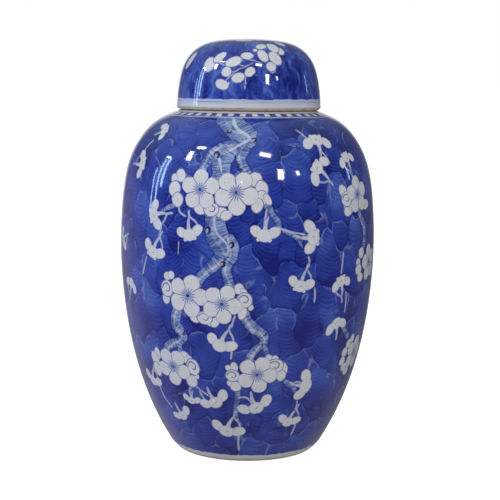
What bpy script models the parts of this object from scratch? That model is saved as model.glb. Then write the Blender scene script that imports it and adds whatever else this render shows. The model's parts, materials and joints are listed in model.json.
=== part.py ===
"""A covered ginger jar in blue and white porcelain.

It is two turned pieces: the jar, with its foot ring and its short upright neck, and the
cap-shaped lid that drops over the neck and rests on the ledge around it.
Lengths below are in millimetres, heights are measured from the foot, and the finished
objects are in metres with +Z up, standing on z = 0 around the Z axis.
"""

import math

import bpy
import numpy as np

# Driving dimensions, in millimetres.
OVERALL_HEIGHT = 330.0
LARGEST_RADIUS = 102.3
LEDGE_HEIGHT = 274.0
REST_GAP = 0.3

FOOT_OUTER_RADIUS = 53.0
FOOT_INNER_RADIUS = 47.0
BASE_RECESS = 5.0
FLOOR_HEIGHT = 14.0

NECK_HEIGHT = 22.0
NECK_OUTER_RADIUS = 49.5
NECK_INNER_RADIUS = 44.5

LID_RIM_RADIUS = 57.5
LID_RIM_WALL = 4.5
LID_CROWN_THICKNESS = 4.8

TURNING_STEPS = 64
METRE = 0.001


def smooth_through(points, count):
    """count points along the natural cubic spline that passes through the given ones."""
    knots = np.array(points, float)
    along = np.concatenate([[0.0], np.cumsum(np.linalg.norm(np.diff(knots, axis=0), axis=1))])
    step = np.diff(along)
    slope = np.diff(knots, axis=0) / step[:, None]
    system = np.eye(len(knots))
    right = np.zeros_like(knots)
    for i in range(1, len(knots) - 1):
        system[i, i - 1 : i + 2] = step[i - 1], 2 * (step[i - 1] + step[i]), step[i]
        right[i] = 6 * (slope[i] - slope[i - 1])
    bend = np.linalg.solve(system, right)
    made = []
    for at in np.linspace(0, along[-1], count):
        i = min(int(np.searchsorted(along, at, side="right")) - 1, len(step) - 1)
        t = at - along[i]
        cubic = (bend[i + 1] - bend[i]) / (6 * step[i])
        linear = slope[i] - step[i] * (2 * bend[i] + bend[i + 1]) / 6
        made.append(tuple(knots[i] + linear * t + bend[i] / 2 * t * t + cubic * t**3))
    return made


def rounded(centre, radius, start, end, count=4):
    """Points along an arc, with angles in degrees from the outward direction."""
    angles = np.radians(np.linspace(start, end, count))
    return [(centre[0] + radius * math.cos(a), centre[1] + radius * math.sin(a)) for a in angles]


def glaze(name, colour, roughness):
    """A plain glazed finish."""
    material = bpy.data.materials.new(name)
    material.use_nodes = True
    shader = material.node_tree.nodes["Principled BSDF"]
    shader.inputs["Base Color"].default_value = (*colour, 1.0)
    shader.inputs["Roughness"].default_value = roughness
    shader.inputs["Metallic"].default_value = 0.0
    return material


def turned(name, outline, material):
    """A closed solid turned around Z from an outline that starts and ends on the axis.

    The outline runs up the inner side and down the outer side, so that its faces point out.
    """
    mesh = bpy.data.meshes.new(name)
    points = [(radius * METRE, 0.0, height * METRE) for radius, height in outline]
    edges = [(i, i + 1) for i in range(len(points) - 1)]
    mesh.from_pydata(points, edges, [])
    obj = bpy.data.objects.new(name, mesh)
    bpy.context.scene.collection.objects.link(obj)
    lathe = obj.modifiers.new("lathe", "SCREW")
    lathe.axis = "Z"
    lathe.angle = math.radians(360)
    lathe.steps = TURNING_STEPS
    lathe.render_steps = TURNING_STEPS
    lathe.use_merge_vertices = True
    lathe.merge_threshold = 0.00001
    lathe.use_smooth_shade = True
    mesh.materials.append(material)
    return obj


def jar_outline():
    """From the middle of the floor, up the inside, over the neck and down to the foot."""
    rim = LEDGE_HEIGHT + NECK_HEIGHT
    inside = smooth_through(
        [
            (0.0, FLOOR_HEIGHT),
            (36.0, FLOOR_HEIGHT + 0.5),
            (54.0, 19.5),
            (66.5, 34.0),
            (78.5, 58.0),
            (89.5, 96.0),
            (LARGEST_RADIUS - 6.0, 160.0),
            (95.0, 203.0),
            (88.0, 236.0),
            (75.5, 255.0),
            (61.0, 264.8),
            (49.5, 269.5),
            (NECK_INNER_RADIUS + 0.4, 276.5),
            (NECK_INNER_RADIUS, 284.0),
        ],
        20,
    )
    rim_inner = rounded((NECK_INNER_RADIUS + 1.5, rim - 1.5), 1.5, 180, 90)
    rim_outer = rounded((NECK_OUTER_RADIUS - 2.0, rim - 2.0), 2.0, 90, 0)
    fillet = rounded((NECK_OUTER_RADIUS + 1.5, LEDGE_HEIGHT + 1.5), 1.5, 180, 270)
    outside = smooth_through(
        [
            (55.6, LEDGE_HEIGHT - 0.2),
            (63.8, 270.3),
            (73.2, 265.2),
            (84.4, 254.2),
            (94.7, 235.0),
            (100.4, 206.0),
            (LARGEST_RADIUS, 170.0),
            (100.8, 136.0),
            (95.9, 99.5),
            (86.2, 60.8),
            (75.0, 32.0),
            (66.6, 15.6),
            (61.9, 7.6),
        ],
        26,
    )
    foot = [
        (59.7, 4.8),
        (57.0, 2.2),
        (54.9, 0.6),
        (FOOT_OUTER_RADIUS, 0.0),
        (FOOT_INNER_RADIUS, 0.0),
        (FOOT_INNER_RADIUS - 1.0, 1.0),
        (FOOT_INNER_RADIUS - 2.0, BASE_RECESS - 0.6),
        (FOOT_INNER_RADIUS - 4.0, BASE_RECESS),
        (0.0, BASE_RECESS + 0.8),
    ]
    ledge = [(54.4, LEDGE_HEIGHT)]
    return inside + rim_inner + rim_outer + fillet + ledge + outside + foot


def lid_outline():
    """From the crown, down the outside, round the rim and up the inside of the hollow."""
    top = OVERALL_HEIGHT
    rim = LEDGE_HEIGHT + REST_GAP
    outside = smooth_through(
        [
            (0.0, top),
            (13.0, top - 0.5),
            (24.5, top - 1.6),
            (33.5, top - 3.7),
            (40.5, top - 7.1),
            (46.3, top - 12.0),
            (50.7, top - 18.4),
            (53.6, top - 25.6),
            (55.8, top - 35.5),
            (57.0, top - 44.5),
            (LID_RIM_RADIUS, rim + 3.2),
        ],
        18,
    )
    rim_outer = rounded((LID_RIM_RADIUS - 2.2, rim + 2.2), 2.2, 0, -90, 5)
    inner_radius = LID_RIM_RADIUS - LID_RIM_WALL
    rim_inner = rounded((inner_radius + 1.0, rim + 1.0), 1.0, 270, 180, 3)
    crown = top - LID_CROWN_THICKNESS
    inside = smooth_through(
        [
            (inner_radius - 0.1, rim + 5.0),
            (51.8, rim + 16.0),
            (50.4, crown - 24.5),
            (47.4, crown - 15.5),
            (41.8, crown - 7.6),
            (32.0, crown - 2.6),
            (18.0, crown - 0.6),
            (0.0, crown),
        ],
        11,
    )
    return outside + rim_outer + rim_inner + inside


def main():
    for obj in list(bpy.data.objects):
        bpy.data.objects.remove(obj)
    turned("jar_body", jar_outline(), glaze("jar_glaze", (0.05, 0.09, 0.40), 0.12))
    turned("lid", lid_outline(), glaze("lid_glaze", (0.06, 0.10, 0.42), 0.12))


main()
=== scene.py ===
# %% [markdown]
# # A covered ginger jar, painted in cobalt blue
# A ginger jar is two pieces of porcelain: the jar itself, and a cap that drops over its neck.
# Both are turned on a wheel, painted in cobalt while the clay is dry, dipped in clear glaze and
# fired. So the making goes in the same order here: turn the two shapes, lay out the painting on
# them, mix the glaze with the painting under it, and set the finished jar in the light.
# The packed model gives the sizes, and every new piece rides on one of its bodies.

# %% Load the frame
import json
import math

import bpy
import numpy as np
from mathutils import Matrix, Vector

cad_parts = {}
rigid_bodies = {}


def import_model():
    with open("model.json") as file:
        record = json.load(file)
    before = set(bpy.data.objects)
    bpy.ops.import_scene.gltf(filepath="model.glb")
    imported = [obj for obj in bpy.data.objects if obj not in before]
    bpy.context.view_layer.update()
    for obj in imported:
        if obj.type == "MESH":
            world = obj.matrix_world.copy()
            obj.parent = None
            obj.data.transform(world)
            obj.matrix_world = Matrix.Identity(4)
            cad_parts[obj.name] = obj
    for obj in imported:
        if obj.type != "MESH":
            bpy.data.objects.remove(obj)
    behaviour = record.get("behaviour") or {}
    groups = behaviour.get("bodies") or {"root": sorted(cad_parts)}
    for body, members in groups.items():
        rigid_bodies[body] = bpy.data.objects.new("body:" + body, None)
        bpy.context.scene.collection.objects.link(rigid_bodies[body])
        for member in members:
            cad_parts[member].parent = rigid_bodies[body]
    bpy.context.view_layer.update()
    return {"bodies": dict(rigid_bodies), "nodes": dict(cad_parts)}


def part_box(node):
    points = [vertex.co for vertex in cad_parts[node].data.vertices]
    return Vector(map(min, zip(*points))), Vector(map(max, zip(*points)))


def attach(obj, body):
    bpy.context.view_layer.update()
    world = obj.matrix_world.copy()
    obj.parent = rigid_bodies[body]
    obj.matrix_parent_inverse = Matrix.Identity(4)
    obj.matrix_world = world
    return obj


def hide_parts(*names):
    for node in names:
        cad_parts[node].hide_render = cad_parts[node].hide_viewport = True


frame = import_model()
kept = set(frame["bodies"].values()) | set(frame["nodes"].values())
for leftover in [o for o in bpy.data.objects if o not in kept]:
    bpy.data.objects.remove(leftover)

MM = 0.001
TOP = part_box("lid")[1].z / MM
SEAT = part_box("lid")[0].z / MM
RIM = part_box("jar_body")[1].z / MM
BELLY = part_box("jar_body")[1].x / MM
print(f"the jar is {TOP:.1f} mm tall, {2 * BELLY:.1f} mm wide, and its lid sits at {SEAT:.1f} mm")

# %% [markdown]
# ## The outlines
# A turned pot is fully described by its outline, from the middle of the inside, over the lip and
# down to the foot. It could be a Bezier curve drawn by eye, but then its sizes would be hard to
# change. Here a few radius and height pairs are joined by a natural cubic spline, which bends as
# evenly as a potter's rib does, and the small roundings at the rims are arcs.

# %% Curves for a turned outline
def smooth_through(points, spacing):
    """Evenly spaced points along the natural cubic spline through the given ones."""
    knots = np.array(points, float)
    along = np.concatenate([[0.0], np.cumsum(np.linalg.norm(np.diff(knots, axis=0), axis=1))])
    step = np.diff(along)
    slope = np.diff(knots, axis=0) / step[:, None]
    system, right = np.eye(len(knots)), np.zeros_like(knots)
    for i in range(1, len(knots) - 1):
        system[i, i - 1 : i + 2] = step[i - 1], 2 * (step[i - 1] + step[i]), step[i]
        right[i] = 6 * (slope[i] - slope[i - 1])
    bend = np.linalg.solve(system, right)
    at = np.linspace(0, along[-1], max(3, round(along[-1] / spacing)))
    i = np.clip(np.searchsorted(along, at, side="right") - 1, 0, len(step) - 1)
    t, gap = (at - along[i])[:, None], step[i][:, None]
    first = slope[i] - gap * (2 * bend[i] + bend[i + 1]) / 6
    return knots[i] + first * t + bend[i] / 2 * t**2 + (bend[i + 1] - bend[i]) / (6 * gap) * t**3


def arc(centre, radius, start, end, count=6):
    """Points along an arc, with angles in degrees from the outward direction."""
    angle = np.radians(np.linspace(start, end, count))
    return np.array(centre) + radius * np.stack([np.cos(angle), np.sin(angle)], 1)


print(f"a quarter arc is drawn with {len(arc((0.0, 0.0), 1.0, 0, 90))} points")

# %% [markdown]
# The jar's outline goes up the inside, over the neck, out along the ledge that carries the lid,
# and down the belly to the foot. Each stretch says whether it is painted and whether it is bare:
# the neck and the foot ring are wiped clean of glaze, because they touch other clay in the kiln.
# The painted stretch is cut into short steps, because the painting is laid out on its points.

# %% The jar's outline
PAINTED_STEP = 1.75
PLAIN_STEP = 9.0
LEDGE = SEAT - 0.3
NECK_RADIUS = 49.5
MOUTH_RADIUS = 44.5

jar_inside = smooth_through(
    [(0.0, 14.0), (36.0, 14.5), (54.0, 19.5), (66.5, 34.0), (78.5, 58.0), (89.5, 96.0)]
    + [(BELLY - 6.0, 160.0), (95.0, 203.0), (88.0, 236.0), (75.5, 255.0), (61.0, 264.8)]
    + [(49.5, 269.5), (MOUTH_RADIUS + 0.4, 276.5), (MOUTH_RADIUS, 284.0)],
    PLAIN_STEP,
)
jar_neck = np.concatenate(
    [
        arc((MOUTH_RADIUS + 1.5, RIM - 1.5), 1.5, 180, 90),
        arc((NECK_RADIUS - 2.0, RIM - 2.0), 2.0, 90, 0),
        [(NECK_RADIUS, LEDGE + 8.0)],
        arc((NECK_RADIUS + 1.5, LEDGE + 1.5), 1.5, 180, 270),
        [(53.0, LEDGE)],
    ]
)
jar_outside = smooth_through(
    [(54.4, LEDGE), (63.8, 270.3), (73.2, 265.2), (84.4, 254.2), (94.7, 235.0), (100.4, 206.0)]
    + [(BELLY, 170.0), (100.8, 136.0), (95.9, 99.5), (86.2, 60.8), (75.0, 32.0), (66.6, 15.6)]
    + [(61.9, 7.6)],
    PAINTED_STEP,
)
jar_foot = np.concatenate(
    [
        smooth_through([(61.3, 6.8), (59.7, 4.8), (57.0, 2.2), (54.9, 0.6), (53.0, 0.0)], 0.9),
        [(50.0, 0.0), (47.0, 0.0), (46.0, 1.0), (45.0, 4.4), (43.0, 5.0), (20.0, 5.5), (0.0, 5.8)],
    ]
)
jar_stretches = [
    (jar_inside, False, False),
    (jar_neck, True, False),
    (jar_outside, False, True),
    (jar_foot, False, True),
]
print(f"the jar's painted side runs over {len(jar_outside)} rings of points")

# %% [markdown]
# The lid is a deep round cap. Its outline starts at the crown, comes down the outside, turns
# round the thick rim and goes up into the hollow. Only the rim's underside is bare.

# %% The lid's outline
LID_STEP = 0.75
LID_RADIUS = 57.5
LID_WALL = 4.5
CROWN_THICKNESS = 4.8

lid_outside = smooth_through(
    [(0.0, TOP), (13.0, TOP - 0.5), (24.5, TOP - 1.6), (33.5, TOP - 3.7), (40.5, TOP - 7.1)]
    + [(46.3, TOP - 12.0), (50.7, TOP - 18.4), (53.6, TOP - 25.6), (55.8, TOP - 35.5)]
    + [(57.0, TOP - 44.5), (LID_RADIUS, SEAT + 3.2)],
    LID_STEP,
)
lid_rim = np.concatenate(
    [
        arc((LID_RADIUS - 2.2, SEAT + 2.2), 2.2, -8, -90),
        arc((LID_RADIUS - LID_WALL + 1.0, SEAT + 1.0), 1.0, 270, 180, 4),
    ]
)
CEILING = TOP - CROWN_THICKNESS
lid_inside = smooth_through(
    [(LID_RADIUS - LID_WALL - 0.1, SEAT + 5.0), (51.8, SEAT + 16.0), (50.4, CEILING - 24.5)]
    + [(47.4, CEILING - 15.5), (41.8, CEILING - 7.6), (32.0, CEILING - 2.6)]
    + [(18.0, CEILING - 0.6), (0.0, CEILING)],
    PLAIN_STEP / 2,
)
lid_stretches = [(lid_outside, False, True), (lid_rim, True, True), (lid_inside, False, False)]
print(f"the lid's painted side runs over {len(lid_outside)} rings of points")

# %% [markdown]
# ## Turning
# Blender's Screw modifier would turn an outline, but the painting needs to know which points are
# on the painted side. So the rings are made directly: every outline point becomes a ring, and the
# two points on the axis become the middle of a fan.

# %% Turn an outline into a closed mesh
class Turned:
    """A closed turned mesh, and what the painting needs to know about its corners."""

    def __init__(self, name, stretches, around):
        outline = np.concatenate([points for points, _, _ in stretches])
        bare = np.concatenate([np.full(len(p), float(b)) for p, b, _ in stretches])
        painted = np.concatenate([np.full(len(p), q) for p, _, q in stretches])
        rings = outline[1:-1]
        angle = np.radians(np.arange(around) * 360 / around)
        circle = np.stack([np.sin(angle), -np.cos(angle)], 1)
        points = np.empty((len(rings), around, 3))
        points[:, :, :2] = rings[:, None, :1] * circle[None]
        points[:, :, 2] = rings[:, None, 1]
        ends = [[0, 0, outline[0, 1]], [0, 0, outline[-1, 1]]]
        self.points = np.concatenate([points.reshape(-1, 3), ends])
        row, turn = np.meshgrid(np.arange(len(rings) - 1), np.arange(around), indexing="ij")
        here, onward = row * around + turn, row * around + (turn + 1) % around
        quads = np.stack([here, here + around, onward + around, onward], -1).reshape(-1, 4)
        first, last = np.arange(around), (len(rings) - 1) * around + np.arange(around)
        start, end = len(self.points) - 2, len(self.points) - 1
        fans = [(start, a, b) for a, b in zip(first, np.roll(first, -1))]
        fans += [(end, b, a) for a, b in zip(last, np.roll(last, -1))]
        self.mesh = bpy.data.meshes.new(name)
        faces = quads.tolist() + [[int(corner) for corner in fan] for fan in fans]
        self.mesh.from_pydata(self.points * MM, [], faces)
        self.mesh.shade_smooth()
        self.corner_point = np.zeros(len(self.mesh.loops), int)
        self.mesh.loops.foreach_get("vertex_index", self.corner_point)
        sides = np.array([len(p.vertices) for p in self.mesh.polygons])
        self.corner_face = np.repeat(np.arange(len(sides)), sides)
        self.corners = self.points[self.corner_point]
        summed = np.zeros((len(sides), 3))
        np.add.at(summed, self.corner_face, self.corners)
        self.middles = summed / sides[:, None]
        last_row = len(outline) - 1
        ring_of = np.concatenate([np.repeat(np.arange(1, last_row), around), [0, last_row]])
        self.keep("bare", bare[ring_of])
        self.keep("outside", painted[ring_of].astype(float))
        held = np.ones(len(sides), bool)
        np.logical_and.at(held, self.corner_face, painted[ring_of][self.corner_point])
        self.outside = held

    def keep(self, name, values):
        """Stores one number for every point, where the material can read it."""
        layer = self.mesh.attributes.new(name, "FLOAT", "POINT")
        layer.data.foreach_set("value", values.astype(np.float32))

    def keep_places(self, name, places):
        """Stores a place on a motif for every corner, where the material can read it."""
        layer = self.mesh.attributes.new(name, "FLOAT_VECTOR", "CORNER")
        layer.data.foreach_set("vector", places.astype(np.float32).ravel())


AROUND_JAR = 384
AROUND_LID = 320
jar = Turned("ginger_jar_body", jar_stretches, AROUND_JAR)
lid = Turned("ginger_jar_lid", lid_stretches, AROUND_LID)
for piece in (jar, lid):
    print(f"{piece.mesh.name} has {len(piece.mesh.polygons)} faces")

# %% [markdown]
# ## Finding the way on a curved wall
# A painter thinks in places on the pot: how far round, how high up, and which way is up the wall
# there. This skin answers those questions, so that the painting can be written down as angles in
# degrees (0 at the front, growing to the right) and heights in millimetres, and a motif keeps its
# true size on the steep shoulder as well as on the belly.

# %% Places on the painted side
class Skin:
    """The painted side of a turned piece, known by its outline from the top down."""

    def __init__(self, outside):
        self.line = outside
        lengths = np.linalg.norm(np.diff(outside, axis=0), axis=1)
        self.arc = np.concatenate([[0.0], np.cumsum(lengths)])

    def down(self, height):
        """How far along the outline a height lies, from its top."""
        return np.interp(-height, -self.line[:, 1], self.arc)

    def moved(self, angle, height, right, up):
        """The angle and height that lie so many millimetres to the right and up the wall."""
        arc_there = self.down(height) - up
        radius = np.interp(arc_there, self.arc, self.line[:, 0])
        return angle + math.degrees(right / radius), np.interp(arc_there, self.arc, self.line[:, 1])

    def stand(self, angle, height):
        """The point there, the direction round the pot and the direction up its wall."""
        at = self.down(height)
        radius, z = (np.interp(at, self.arc, self.line[:, k]) for k in (0, 1))
        ahead = [np.interp(at + 1, self.arc, self.line[:, k]) for k in (0, 1)]
        behind = [np.interp(at - 1, self.arc, self.line[:, k]) for k in (0, 1)]
        rise = np.array(behind) - np.array(ahead)
        rise /= np.linalg.norm(rise)
        turn = math.radians(angle)
        out = np.array([math.sin(turn), -math.cos(turn), 0.0])
        around = np.array([math.cos(turn), math.sin(turn), 0.0])
        return radius * out + [0, 0, z], around, rise[0] * out + [0, 0, rise[1]]


foot_side = jar_foot[:6]
jar_skin = Skin(np.concatenate([jar_outside, foot_side]))
lid_skin = Skin(lid_outside)
print(f"the jar's wall is {jar_skin.arc[-1]:.0f} mm long from ledge to foot")

# %% [markdown]
# ## A painter's hand
# The painting is made of a few strokes that repeat: five-petalled blossoms, single petals, buds
# that hang in threes, thin twigs and broad hatched limbs. A painter object collects them for one
# side of a pot. No two motifs are quite alike: each gets a number of its own from a counter. The
# far side is painted by the same hand but turned the other way round, so it has its own centre and
# a mirrored sense of left and right.

# %% Strokes that the painter knows
PLAIN, CURLED, BUD, KNOT, LOBE = 0, 1, 2, 3, 4
GOLDEN_STEP = 0.618
LOBES_ABOVE = 140


class Painter:
    """One side of a pot, and everything that has been painted on it so far."""

    def __init__(self, skin, centre=0.0, hand=1):
        self.skin, self.centre, self.hand = skin, centre, hand
        self.blossoms, self.petals, self.knots = [], [], []
        self.twigs, self.limbs = [], []
        self.drawn = 0

    def fate(self):
        """A number from 0 to 1 that differs from motif to motif but never changes."""
        return self.drawn * GOLDEN_STEP % 1

    def disc(self, angle, height, half_width, half_length, lean, kind):
        """An oval spot whose long side leans clockwise from upright by lean degrees."""
        spot, around, up = self.skin.stand(self.centre + self.hand * angle, height)
        right, tilt = self.hand * around, math.radians(lean)
        self.drawn += 1
        return {
            "spot": spot,
            "across": (right * math.cos(tilt) - up * math.sin(tilt)) / half_width,
            "along": (up * math.cos(tilt) + right * math.sin(tilt)) / half_length,
            "code": kind + 0.05 + 0.9 * self.fate(),
            "reach": max(half_width, half_length),
        }

    def blossom(self, angle, height, radius, turn):
        self.blossoms.append(self.disc(angle, height, radius, radius, -turn, PLAIN))

    def petal(self, angle, height, half_width, half_length, lean=0, kind=PLAIN):
        self.petals.append(self.disc(angle, height, half_width, half_length, lean, kind))

    def petal_as_seen(self, angle, height, half_width, half_length, lean=0, kind=PLAIN):
        """A petal whose size was judged from straight ahead, opened out to its true size."""
        opening = 1 / math.cos(math.radians(angle)) - 1
        upright = math.cos(math.radians(lean)) ** 2
        half_width *= 1 + opening * upright
        half_length *= 1 + opening * (1 - upright)
        self.petal(angle, height, half_width, half_length, lean, kind)

    def knot(self, angle, height, size=2.6, lean=0):
        self.knots.append(self.disc(angle, height, size, size * 1.25, lean, KNOT))

    def route(self, places):
        """A smooth line through places given as angle, height and half width."""
        spots = []
        for angle, height, half in places:
            spot, _, _ = self.skin.stand(self.centre + self.hand * angle, height)
            spots.append([*spot, half])
        return smooth_through(spots, 2.0) if len(spots) > 2 else np.array(spots)

    def limb(self, *places):
        self.limbs.append(self.route(places))

    def twig(self, *places, half=0.8, tip=None):
        """A thin stroke that goes evenly from one half width to the other."""
        halves = np.linspace(half, tip or half, len(places))
        self.twigs.append(self.route([(*place, h) for place, h in zip(places, halves)]))

    def spray(self, angle, height, stem=0, size=1.0, tall=True):
        """Three half-open buds with their sepals. The stem leaves clockwise from up by stem."""
        tilt = math.radians(stem)

        def place(x, y):
            right = size * (x * math.cos(tilt) + y * math.sin(tilt))
            up = size * (y * math.cos(tilt) - x * math.sin(tilt))
            return self.skin.moved(angle, height, right, up)

        spread = 1 + 0.3 * (self.fate() - 0.5)
        if height > LOBES_ABOVE:
            for x, y, half in ((-4.4, -3.4, 1.6), (4.4, -3.2, 1.8)):
                self.petal(*place(x, y), half * size, half * size, stem, LOBE)
        for x, y, wide, long, lean in ((-7.8, 2.8, 4.1, 5.3, -42), (8.3, 2.8, 4.3, 6.0, 50)):
            self.petal(*place(x * spread, y), wide * size, long * size, stem + lean / spread, LOBE)
        self.petal(*place(0, 0), 6.2 * size, 5.2 * size, stem, BUD)
        self.twig(place(0.3, 3), place(0.2, 8), place(2, 15), half=2.0 * size, tip=0.8)
        if tall:
            self.twig(place(9, 6), place(6.6, 11), place(2, 15), place(2.5, 20), half=0.7, tip=0.9)


moves = [name for name in vars(Painter) if not name.startswith("_")]
print("the painter's moves:", ", ".join(moves))

# %% [markdown]
# ## The tree on the jar
# An old prunus tree grows from the shoulder down the wall: a gnarled trunk forks round two pairs
# of blossoms, and bud sprays hang between. The limbs come first, from the shoulder down. Each
# place is an angle, a height and the limb's half width there.

# %% Trunk and limbs
def paint_limbs(hand):
    hand.limb((-14, 272, 8.5), (-11.5, 267.5, 10), (-6.5, 262.5, 9.5), (-2.6, 256.5, 9.8),
              (-4, 250, 8.6), (-7, 246.5, 6))
    hand.limb((-6, 250, 5), (-12.5, 247, 5.2), (-16.4, 243, 4.8), (-18.8, 238, 3.6),
              (-20.6, 232, 2.8), (-21, 226, 2.4))
    hand.limb((-9, 247, 6.6), (-11.6, 240.5, 7.4), (-11.8, 234, 7), (-12, 225, 6.6))
    hand.limb((-1.6, 252, 6), (-2.6, 246, 4.6), (-3.5, 240.5, 3), (-1.9, 234.5, 3), (0, 228, 3.2))
    hand.limb((-13.6, 202, 7.6), (-13.6, 191, 7.9), (-12.7, 184, 8.3), (-10.8, 178, 8.3),
              (-9.8, 171.5, 6.6), (-12, 165, 5.2), (-15.6, 159.8, 4.3), (-18.6, 154.6, 4),
              (-20.6, 150, 3.9), (-22, 145, 3.8))
    hand.limb((-8.5, 182.5, 4.8), (-6.4, 177, 4.6), (-6.1, 171, 4.4), (-7.6, 165, 4.2),
              (-8.7, 159, 3.7), (-8.2, 153, 3.5), (-7.2, 147, 3.7), (-7, 141, 3.6))
    hand.limb((-31, 127, 4), (-32.5, 121, 4.4), (-33, 115, 4.8), (-31, 110, 4.2), (-29.5, 105, 3.6),
              (-32, 101, 3.2), (-36.5, 98, 3.4), (-40, 94, 3), (-41.5, 89, 2.8))
    hand.limb((-30.5, 104, 2.6), (-32, 98, 2.2), (-31.5, 91, 2.2))
    hand.limb((-1, 127, 3.6), (0.5, 120, 4), (2.6, 115.5, 4.2), (5.6, 111.6, 3.8), (8, 107.5, 3.3),
              (7.6, 103, 2.7), (5.2, 99.5, 2.9), (3, 95.5, 3.1), (1.4, 90.5, 3), (0.5, 86, 2.8))
    hand.limb((7.6, 102, 1.8), (8.8, 97, 1.8), (10, 91, 1.8))
    hand.limb((6, 209, 2.6), (9, 205, 2.4), (10.6, 199.5, 2.1), (12.8, 195, 2.2), (13.2, 190, 1.6))
    hand.limb((15, 188.5, 2.2), (17.5, 186, 1.9), (21, 182, 1.4), (23.5, 175, 1))
    hand.limb((57.5, 200, 2.2), (59, 193.5, 2.8), (62, 187, 3), (62.5, 179, 2.8), (61.5, 170, 2.6))
    hand.limb((-4.5, 67, 2.4), (-4, 60, 2.1), (-5, 53, 1.9), (-5.4, 46, 1.8), (-4.6, 39, 1.5))
    hand.limb((-30, 206, 1.8), (-35, 203.5, 2), (-40, 199.5, 1.7))
    hand.limb((49, 110, 1.8), (52, 105.5, 2.2), (55, 100, 2))
    hand.limb((19, 72, 1.8), (22, 68.5, 2.4), (24.5, 65.5, 2.2), (25.5, 61, 1.4))
    for place in ((-4.2, 268.6, 2, 70), (-10.4, 259.6, 2.1, 150), (3, 253.6, 2.2, 30),
                  (-14.6, 242.8, 2.6, -10), (-16.6, 188, 2.4, 0), (-6.5, 177.2, 2.3, 25),
                  (-10.2, 162.8, 2.4, 40), (-29, 109.5, 1.4, 40), (8, 110.2, 1.4, 60),
                  (6.8, 101, 1.4, 20), (-23.5, 205.5, 1.5, 40)):
        hand.knot(*place)


# %% [markdown]
# The blossoms come in pairs with loose petals tucked behind them, some with a curled edge.
# Petals are painted before the blossoms that cover them.

# %% Blossoms and their loose petals
def paint_blossoms(hand):
    for place in ((-21, 217.3, 15.6, 90), (-5, 215.8, 17, 130), (-26, 137.6, 17, 70)):
        hand.blossom(*place)
    for place in ((-10.6, 132.6, 15.6, 135), (-37.6, 79.4, 16, 125), (5.2, 77.6, 15.8, 66)):
        hand.blossom(*place)
    for place in ((57.5, 211.5, 15, 95), (69, 157, 15, 100), (66, 85, 14.5, 80), (-86, 216, 15, 60)):
        hand.blossom(*place)
    for place in ((-31, 227, 4, 5.6, -15), (-34, 224, 2.8, 4.4, -20), (-33.5, 217, 4.8, 6.4, 5),
                  (-31.5, 209, 4.6, 6, -10), (3, 225.5, 5.5, 6, 30), (6, 219, 5, 6.5, -15),
                  (5.8, 212, 5.4, 6, 10), (8.4, 211, 2.6, 5, -30), (4, 206.5, 4.6, 6.2, 20),
                  (-20.5, 203, 5.4, 4.2, 20), (-11, 201, 5, 4.4, 0), (-9, 199, 5, 4, -20),
                  (-36, 151, 3, 3.4, 0), (-34, 152, 2.8, 3.4, 20), (-37.2, 133.5, 3, 4.6, 0),
                  (-23, 120.5, 4.2, 3.4, 30), (-16, 117.5, 2.6, 2.4, 0), (-13.8, 118.4, 4.6, 3.6, -60),
                  (-3.2, 144.6, 4, 4.6, -10), (-1.2, 142, 2.6, 3.6, -30), (-1.8, 126.6, 3.6, 6, 15),
                  (1.8, 130.4, 2, 2.6, 30), (-47, 88, 2.4, 5.6, -5), (-49.5, 83.5, 3.4, 6, -20),
                  (-49.5, 74.5, 3.2, 6.4, -15), (-30, 89, 4.4, 5.4, -20), (-27, 87, 2.4, 4.6, -30),
                  (-27.6, 69.6, 4.6, 5.8, 10), (-24.6, 74.6, 2, 3.2, -20), (11, 90.5, 3, 4.2, -50),
                  (13.4, 90, 3, 3.6, -20), (17.8, 82, 3.4, 6, -15), (17, 76.5, 4, 5, 0),
                  (-5.6, 84, 3, 4.2, -10), (-8.4, 83, 2.4, 2.6, 0), (-5, 68, 4.6, 4.6, 10),
                  (-8, 70.8, 2.2, 2.8, 0), (46.5, 214.5, 3.4, 6, -30), (50, 203, 4.6, 5.6, 10),
                  (49, 199.5, 3.4, 4, 0), (65, 203, 3.2, 4.4, 0), (59.5, 166, 2.4, 4.6, 0),
                  (57, 159, 2, 3.4, 10), (57.5, 153.5, 2.8, 4.8, 0), (59.5, 147, 2.6, 4, 0),
                  (57, 94.5, 2.2, 4, -10), (55, 88, 2.6, 4.4, 5), (54.5, 81, 2.4, 4.2, 0),
                  (57.5, 75.5, 2.6, 3.8, 0), (60, 98, 2, 3.6, 20), (61, 71, 2.4, 3.6, 0)):
        hand.petal_as_seen(*place)
    for place in ((-15.6, 203, 6.2, 5.6, 0), (-36.4, 141.5, 5, 7, 0), (-18.4, 121.4, 6.4, 5.4, 10),
                  (-0.9, 136, 6.2, 6.4, 0), (-26, 81.5, 5.4, 7.4, -10), (13.8, 84.6, 6.6, 6.4, 0),
                  (-6.4, 76.8, 5.8, 5.4, 0), (48.5, 209, 4.4, 6.4, 0)):
        hand.petal_as_seen(*place, CURLED)


# %% [markdown]
# Bud sprays hang from thin twigs in the spaces between. Each is placed by its middle bud and by
# the direction in which its stem leaves, clockwise from straight up.

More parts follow.
